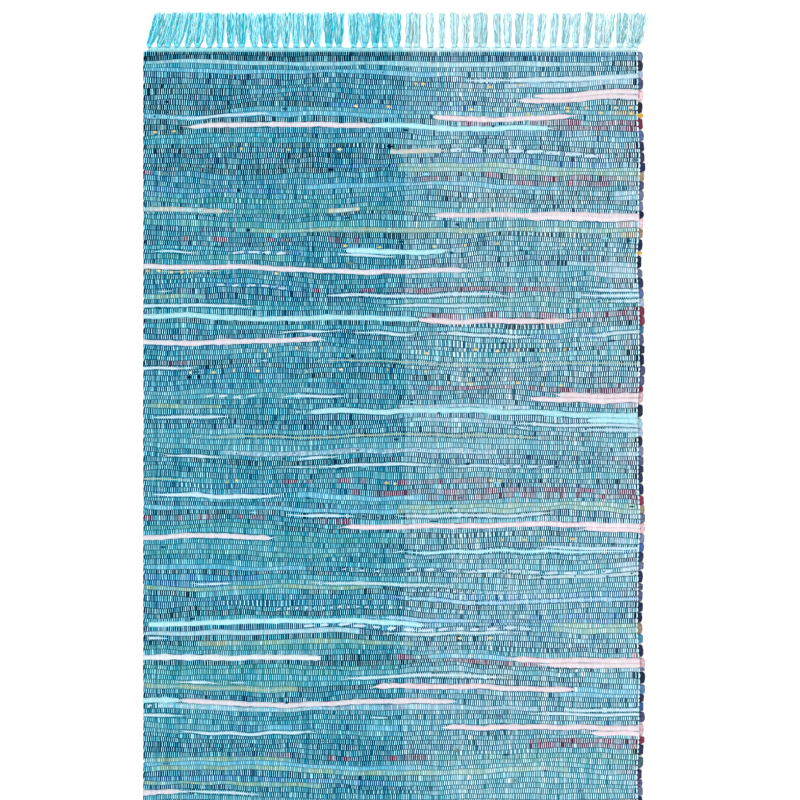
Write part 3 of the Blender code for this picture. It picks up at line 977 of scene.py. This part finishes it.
def buildScraps():
    # a small lumpy cushion each: a sphere of two angles, flattened, lengthened along the row and crumpled
    found = []
    places = [("knots", row + 0.5, place) for row, place in knotPlaces]
    for name, runs in (("specks", speckRuns), ("blues", blueRuns)):
        for row, start, stop, count in runs:
            for place in np.linspace(start, stop, count) + dice.normal(0, scraps["astray"], count):
                places.append((name, row + dice.uniform(*scraps["inRow"]), min(place, scraps["furthest"])))
    for name, row, place in places:
        kind = scraps[name]
        found.append((row, fromLeft(place), dice.choice(kind["colours"]), kind["long"], kind["wide"]))
    tufts = scraps["tufts"]
    for number in range(tufts["count"]):
        colour = dice.choice(tufts["colours"])
        row = dice.integers(*tufts["rows"]) + dice.choice([0.0, 0.5])
        x = dice.uniform(-tufts["reach"], tufts["reach"])
        found.append((row, x, colour, dice.uniform(*tufts["long"]), dice.uniform(*tufts["wide"])))
    place, x, colour, long, wide = zip(*found)
    long = each(long) * dice.uniform(*scraps["stretch"], (len(found), 1, 1))
    u = np.linspace(scraps["cut"], math.pi - scraps["cut"], 6)[:, None]
    v = ring(8)
    lump = 1 + scraps["lumps"] * np.sin(2 * v + 3 * u + dice.uniform(0, 6, (len(found), 1, 1)))
    px = each(x) + long * np.cos(u) * lump
    py = rowLine(each(place), px) + each(wide) * np.sin(u) * np.cos(v) * lump
    pz = weave["crest"] + scraps["middleZ"] + scraps["high"] * np.sin(u) * np.sin(v) * lump
    dye = np.array([fromHex(code) for code in colour])
    return surfacePiece("scraps", spots(px, py, pz), dye[:, None, None])


scrapPiece = fit(buildScraps(), tornRag)
print("scraps tucked in")

# Rag loops of the selvedges

def bent(value, power):  # a sine or cosine pushed towards a square wave, for round-cornered turns
    return np.sign(value) * np.abs(value) ** power


def buildLoops():
    # a rag turning back into the next row: a fat oval tube along a round-cornered turn that joins the
    # middles of the two rows, with both limbs sinking under the warp
    loops = [(1, 2 * number, ragNames.index(name)) for number, name in enumerate(rightLoops)]
    plain = dice.choice([ragNames.index(name) for name in loopShape["plain"]], weave["rows"] // 2)
    loops += [(-1, 2 * number + 1, rag) for number, rag in enumerate(plain)]
    side, first, rag = (np.array(column) for column in zip(*loops))
    count = len(side)
    isInner = (first > 1) & (first < weave["rows"] - 2)
    first = first + isInner * dice.uniform(-1, 1, count) * loopShape["unevenEnd"]
    first[list(loopShifts)] += list(loopShifts.values())
    isSmall = np.isin(rag, [ragNames.index(name) for name in loopShape["small"]]) & (side > 0)
    first = first + loopShape["smallBy"] * isSmall - loopShape["smallBy"] * np.append(False, isSmall[:-1])
    last = np.append(first[1:], weave["rows"])
    last = np.where(last < first, weave["rows"], last)
    upper = rowLine(first, side * loopShape["rootX"])
    lower = rowLine(last, side * loopShape["rootX"])
    limb = each((upper - lower) / 4)
    thick = np.minimum(loopShape["across"], limb * loopShape["overlap"])
    root = each(np.where(side > 0, loopShape["rootX"], loopShape["leftRootX"]))
    reach = loopShape["reach"] - loopShape["slack"] * each(dice.random(count))
    out = np.maximum(reach - root - thick, loopShape["shortest"])
    turn = np.radians(np.linspace(-loopShape["turn"], loopShape["turn"], 13))[:, None]
    around = ring(8)
    crumple = 1 + loopShape["crumple"] * np.sin(5 * around + 7 * turn + each(dice.uniform(0, 6, count)))
    radius = thick * crumple * np.cos(around)
    outward = bent(np.cos(turn), loopShape["squareness"])
    upward = bent(np.sin(turn), loopShape["squareness"])
    # which way the tube's side looks
    tilt = math.radians(90) * np.clip(turn / math.radians(loopShape["tiltBy"]), -1, 1)
    x = each(side) * (root + out * outward + radius * bent(np.cos(tilt), loopShape["corner"]))
    y = each((upper + lower) / 2) + limb * upward + radius * bent(np.sin(tilt), loopShape["corner"])
    z = loopShape["middleZ"] - loopShape["dip"] * np.clip(loopShape["dipFrom"] - outward, 0, 1)
    z = np.maximum(z + loopShape["high"] * crumple * np.sin(around), loopShape["lowest"])
    ownColours = [fromHex(loopShape["tones"].get(name, rags[name]["colour"])) for name in ragNames]
    dye = mixed(np.array(ownColours)[rag], fromHex(loopShape["dust"]), loopShape["dustShare"])
    dye = loopShape["shade"] * dye * dice.uniform(*loopShape["shades"], count)[:, None]
    return surfacePiece("selvedge_loops", spots(x, y, z), dye[:, None, None])


loopPiece = fit(buildLoops(), foldedRag)
print("selvedge loops turned")

# Headings, knots and fringe

topKnots = (  # millimetres from the left selvedge, as the photograph shows them
    9, 25, 37, 51, 67, 82, 100, 115, 132, 148, 167, 183, 198, 214, 230, 246, 261, 279, 294, 316, 332, 348,
    363, 380, 398, 411, 431, 448, 467, 484, 500, 511, 532, 547, 563, 578, 595, 615, 632, 649, 664, 681,
    694, 715, 730, 739,
)
topLeans = {  # millimetres that a tassel's tip lies to the right of its knot
    0: 15, 1: 17, 2: 14, 3: 12, 4: 11, 5: 8, 6: 4, 7: 1, 8: 3, 24: 3, 34: 1, 35: 3, 36: 3, 37: 4, 38: 4,
    39: 4, 40: 5, 41: 4, 42: 4, 43: 4, 44: 6, 45: 9,
}


def buildHeading(name, side):
    # a thin band of close warp: an oval section carried along X, its edges wavy, every warp end a little
    # lighter or darker than the next
    x = np.linspace(-fringe["half"], fringe["half"], 481)[:, None]
    around = ring(12)
    inner, outer, top = (
        sum(high * np.sin(turns * x + phase) for high, turns, phase in fringe[waves])
        for waves in ("innerWaves", "outerWaves", "topWaves"))
    inner = inner + fringe["inner"]
    outer = outer + fringe["edge"]
    y = side * ((inner + outer) / 2 + (outer - inner) / 2 * bent(np.cos(around), fringe["square"]))
    z = fringe["thick"] / 2 * (1 + bent(np.sin(around), fringe["square"])) + 2 * fringe["offFloor"] + top
    points = spots(x, y, z)[None]
    dye = sideDye(points[..., 0], *fringe["head"]) * dice.normal(1, fringe["headUneven"], (1, len(x), 1, 1))
    return surfacePiece(name, points, dye)


def tasselPlaces(side):  # knot and lean of each tassel: charted at the top end, evenly spaced at the bottom
    number = np.arange(fringe["tassels"])
    if side > 0:
        middle = fieldLow[0] + np.array(topKnots) / 1000
        lean = np.array([topLeans.get(tassel, 0) for tassel in number]) / 1000
    else:
        even = fringe["half"] * (2 * (number + 0.5) / fringe["tassels"] - 1)
        middle = even + dice.normal(0, fringe["bottomUneven"], number.size)
        lean = dice.normal(*fringe["bottomLean"], number.size)
    return middle, lean + dice.normal(0, fringe["leanUneven"], number.size)


def buildYarns(name, side, middle, lean):
    # each yarn runs from its knot to its tip: it fans out soon after the knot and wavers about its line,
    # and a small round section is carried along it
    tassels, yarns = fringe["tassels"], fringe["yarns"]
    count = tassels * yarns
    tassel = np.repeat(np.arange(tassels), yarns)
    rank = np.tile(np.linspace(-1, 1, yarns), tassels)
    offset = each(rank + dice.normal(0, fringe["rankUneven"], count))
    isFluffy = np.tile(np.arange(yarns) % 3 == 1, tassels)
    tip = bySide(middle, *fringe["tips"]) * dice.uniform(*fringe["tipSizes"], tassels)
    tip = tip * np.where(np.arange(tassels) >= fringe["crowded"], fringe["crowding"], 1)
    t = np.linspace(0, 1, 12)[:, None]
    around = ring(4)
    start = fringe["edge"] + fringe["knotHigh"]
    length = each((fringe["tip"] - start) * dice.uniform(fringe["shortest"], 1.0, count))
    fan = fringe["rootHalf"] + (each(tip[tassel]) - fringe["rootHalf"]) * t ** fringe["fanPower"]
    waves = each(dice.uniform(*fringe["crimpWaves"], count))
    crimp = fringe["crimp"] * each(dice.uniform(*fringe["crimps"], count))
    waver = crimp * np.sin(waves * t + each(dice.uniform(0, 6, count))) * np.clip(4 * t, 0, 1)
    centre = each(middle[tassel]) + offset * fan + each(lean[tassel]) * t ** fringe["leanPower"] + waver
    lift = each(dice.uniform(0.0, 1.0, count) * ~isFluffy)
    high = fringe["yarnRadius"] + fringe["offFloor"]
    high = high + (fringe["liftAtKnot"] * (1 - t) + fringe["liftAtTip"]) * lift
    radius = fringe["yarnRadius"] * np.where(t < 1, 1 - fringe["taper"] * t, fringe["endShare"])
    width = radius * each(np.where(isFluffy, fringe["fluffy"], 1))
    y = side * (start + length * t)
    points = spots(centre + width * np.cos(around), y, high + radius * np.sin(around))
    tone = dice.choice(fringe["tones"], count)
    tone = tone + dice.uniform(-fringe["toneUneven"], fringe["toneUneven"], count)
    tone = np.where(isFluffy, 1.0, tone)
    isDeep = (middle < weave["splitX"])[tassel][:, None]
    dye = np.where(isDeep, between(fringe["deep"], tone), between(fringe["pale"], tone))
    return surfacePiece(name, points, dye[:, None, None])


def buildKnots(name, side, middle):
    # an overhand knot of a tassel's yarns: a barrel whose surface winds in slanting ridges, with painted
    # shade in their grooves and a painted shadow at its foot, where it is drawn tight against the heading
    count = fringe["tassels"]
    u = np.linspace(0.06, math.pi - 0.06, 9)[:, None]
    v = ring(12)
    ridge = np.sin(2 * v + 4 * u + each(dice.uniform(0, 6, count)))
    size = each(dice.uniform(*fringe["knotSizes"], count))
    girth = (1 + fringe["ridges"] * ridge) * size * np.sin(u) ** 0.5
    x = each(middle) + fringe["knotWide"] * girth * np.cos(v)
    y = side * (fringe["edge"] - fringe["knotBack"] + fringe["knotHigh"] * size * (1 + np.cos(u)))
    z = np.maximum(fringe["knotZ"] + fringe["knotThick"] * girth * np.sin(v), 2 * fringe["offFloor"])
    dark, light = (sideDye(middle, *pair)[:, None, None] for pair in zip(fringe["deep"], fringe["pale"]))
    # painted shade: darker in the grooves between the ridges, lighter on their crests
    dye = mixed(dark, light, np.clip(0.34 + 0.20 * ridge, 0, 1))
    # painted shadow at the knot's foot
    foot = sideDye(middle, *fringe["foot"])[:, None, None]
    return surfacePiece(name, spots(x, y, z), np.where((u > fringe["knotShadowFrom"])[..., None], foot, dye))


fringePieces = []
for end, side in (("top", 1), ("bottom", -1)):
    middle, lean = tasselPlaces(side)
    heading = fit(buildHeading(f"heading_{end}", side), cottonWarp)
    knots = fit(buildKnots(f"knots_{end}", side, middle), cottonWarp)
    yarns = fit(buildYarns(f"tassels_{end}", side, middle, lean), cottonWarp)
    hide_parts(f"fringe_{end}")
    fringePieces += [heading, knots, yarns]
print("fringes knotted")

# Studio

studio = {
    "frameWidth": 1.2,  # metres of floor that the picture spans
    "height": 5.0,
    "aimX": 0.0105,
    "aimY": 0.0660,
    "sensor": 36.0,
    "sky": 0.98,
    "sun": 0.60,
    "sunSize": 40,  # degrees
    "sunTilt": 24,
    "sunTurn": -30,
    "floorSize": 12,
    "floorDrop": 0.0004,
}


def buildStudio():
    bpy.ops.mesh.primitive_plane_add(size=studio["floorSize"], location=(0, 0, -studio["floorDrop"]))
    floor = bpy.context.object
    floor.name = "floor"
    paper = bpy.data.materials.new("whitePaperFloor")
    paper.use_nodes = True
    shader = paper.node_tree.nodes["Principled BSDF"]
    shader.inputs["Base Color"].default_value = (0.98, 0.98, 0.98, 1)
    shader.inputs["Roughness"].default_value = 1.0
    shader.inputs["Specular IOR Level"].default_value = 0.0
    floor.data.materials.append(paper)
    world = bpy.data.worlds.new("softbox")
    world.use_nodes = True
    light = world.node_tree.nodes["Background"]
    light.inputs["Color"].default_value = (1, 1, 1, 1)
    light.inputs["Strength"].default_value = studio["sky"]
    bpy.context.scene.world = world
    sun = bpy.data.objects.new("key", bpy.data.lights.new("key", "SUN"))
    sun.data.energy = studio["sun"]
    sun.data.angle = math.radians(studio["sunSize"])
    sun.rotation_euler = (math.radians(studio["sunTilt"]), math.radians(studio["sunTurn"]), 0)
    bpy.context.scene.collection.objects.link(sun)
    camera = bpy.data.objects.new("camera", bpy.data.cameras.new("camera"))
    camera.data.lens = studio["sensor"] * studio["height"] / studio["frameWidth"]
    camera.data.sensor_width = studio["sensor"]
    camera.data.clip_end = 50
    camera.location = (studio["aimX"], studio["aimY"], studio["height"])
    bpy.context.scene.collection.objects.link(camera)
    bpy.context.scene.camera = camera
    bpy.context.scene.view_settings.view_transform = "Standard"
    bpy.context.scene.view_settings.look = "High Contrast"


buildStudio()
print("studio lit")
